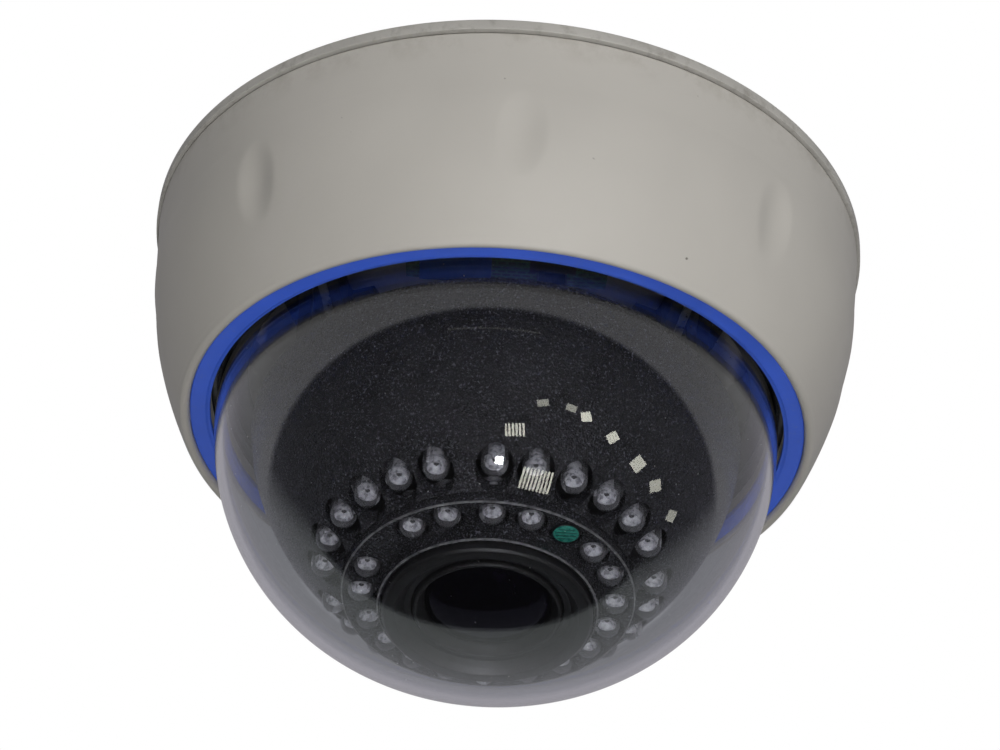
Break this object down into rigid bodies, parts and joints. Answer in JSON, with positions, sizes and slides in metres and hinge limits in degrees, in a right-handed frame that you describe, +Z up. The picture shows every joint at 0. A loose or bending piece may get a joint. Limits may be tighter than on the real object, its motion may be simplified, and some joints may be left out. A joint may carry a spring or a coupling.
{
  "type": "dome security camera",
  "caption": "Ceiling dome camera: round off-white housing, blue trim ring, clear dome, black ball with infrared lamps and a varifocal lens.",
  "frame": {"origin": "centre of the base's flat back, which lies on the ceiling", "axes": "+Z up, out of the base's back into the ceiling; the dome hangs toward -Z; the lens leans toward -Y at rest"},
  "size_m": [0.1404, 0.1404, 0.0944],
  "materials": {
    "housing_plastic": "satin",
    "base_metal": "satin",
    "blue_plastic": "satin",
    "black_plastic": "fine texture",
    "dark_metal": "satin",
    "steel": "plain",
    "black_rubber": "matte",
    "clear_dome": "clear polycarbonate",
    "lens_glass": "coated",
    "circuit_board": "solder mask",
    "lamps": "clear epoxy",
    "cell_face": "coated"
  },
  "bodies": {
    "base": {"base_plate": "base_metal", "mounting_gasket": "black_rubber", "cover_seal": "black_rubber", "cable_grommet": "black_rubber", "swivel_seat": "dark_metal", "swivel_clip": "steel", "seat_screw_1": "steel", "seat_screw_2": "steel", "seat_screw_3": "steel", "power_board": "circuit_board", "terminal_block": "blue_plastic", "video_socket": "black_plastic", "board_capacitor": "dark_metal"},
    "cover": {"housing_shell": "housing_plastic", "trim_ring": "blue_plastic", "dome": "clear_dome", "dome_seal": "black_rubber", "dome_retainer": "black_plastic", "retainer_screw_1": "steel", "retainer_screw_2": "steel", "retainer_screw_3": "steel", "retainer_screw_4": "steel"},
    "yoke": {"swivel_yoke": "dark_metal", "pan_lock_screw": "steel", "pivot_screw_left": "steel", "pivot_screw_right": "steel"},
    "tilt_cradle": {"cradle": "dark_metal"},
    "ball": {"eye_base": "black_plastic", "roll_clamp": "black_plastic", "eye_shell": "black_plastic", "lamp_cap": "black_plastic", "outer_lamp_board": "lamps", "inner_lamp_board": "lamps", "photocell": "cell_face", "lens_holder": "black_plastic", "sensor_board": "circuit_board", "image_sensor": "dark_metal", "processor_board": "circuit_board", "board_spacer_1": "steel", "board_spacer_2": "steel", "board_spacer_3": "steel", "board_spacer_4": "steel", "lens_barrel": "black_plastic", "rear_glass": "lens_glass"},
    "zoom": {"zoom_ring": "black_plastic", "zoom_lock_screw": "steel"},
    "focus": {"focus_ring": "black_plastic", "focus_lock_screw": "steel"},
    "lens_front": {"front_barrel": "black_plastic", "front_glass": "lens_glass", "lens_hood": "black_plastic"}
  },
  "joints": [
    {"name": "cover_twist", "type": "hinge", "parent": "base", "child": "cover", "pos_m": [0, 0, 0], "axis": [0, 0, 1], "range_deg": [0, 16]},
    {"name": "pan", "type": "hinge", "parent": "base", "child": "yoke", "pos_m": [0, 0, 0], "axis": [0, 0, 1], "range_deg": [-177.5, 177.5]},
    {"name": "tilt", "type": "hinge", "parent": "yoke", "child": "tilt_cradle", "pos_m": [0, 0, -0.0405], "axis": [0.9969, 0.0785, 0], "range_deg": [-36, 7.4]},
    {"name": "roll", "type": "hinge", "parent": "tilt_cradle", "child": "ball", "pos_m": [0, 0, -0.0405], "axis": [0.0101, -0.1284, -0.9917], "range_deg": [-170, 170]},
    {"name": "zoom_turn", "type": "hinge", "parent": "ball", "child": "zoom", "pos_m": [0, 0, -0.0405], "axis": [0.0101, -0.1284, -0.9917], "range_deg": [0, 75]},
    {"name": "focus_turn", "type": "hinge", "parent": "ball", "child": "focus", "pos_m": [0, 0, -0.0405], "axis": [0.0101, -0.1284, -0.9917], "range_deg": [0, 90.01]},
    {"name": "focus_slide", "type": "slide", "parent": "ball", "child": "lens_front", "axis": [0.0101, -0.1284, -0.9917], "range_m": [-0.0018, 0]}
  ],
  "couplings": [
    {"joint": "focus_turn", "follows": "focus_slide", "rad_per_m": -872.66}
  ]
}
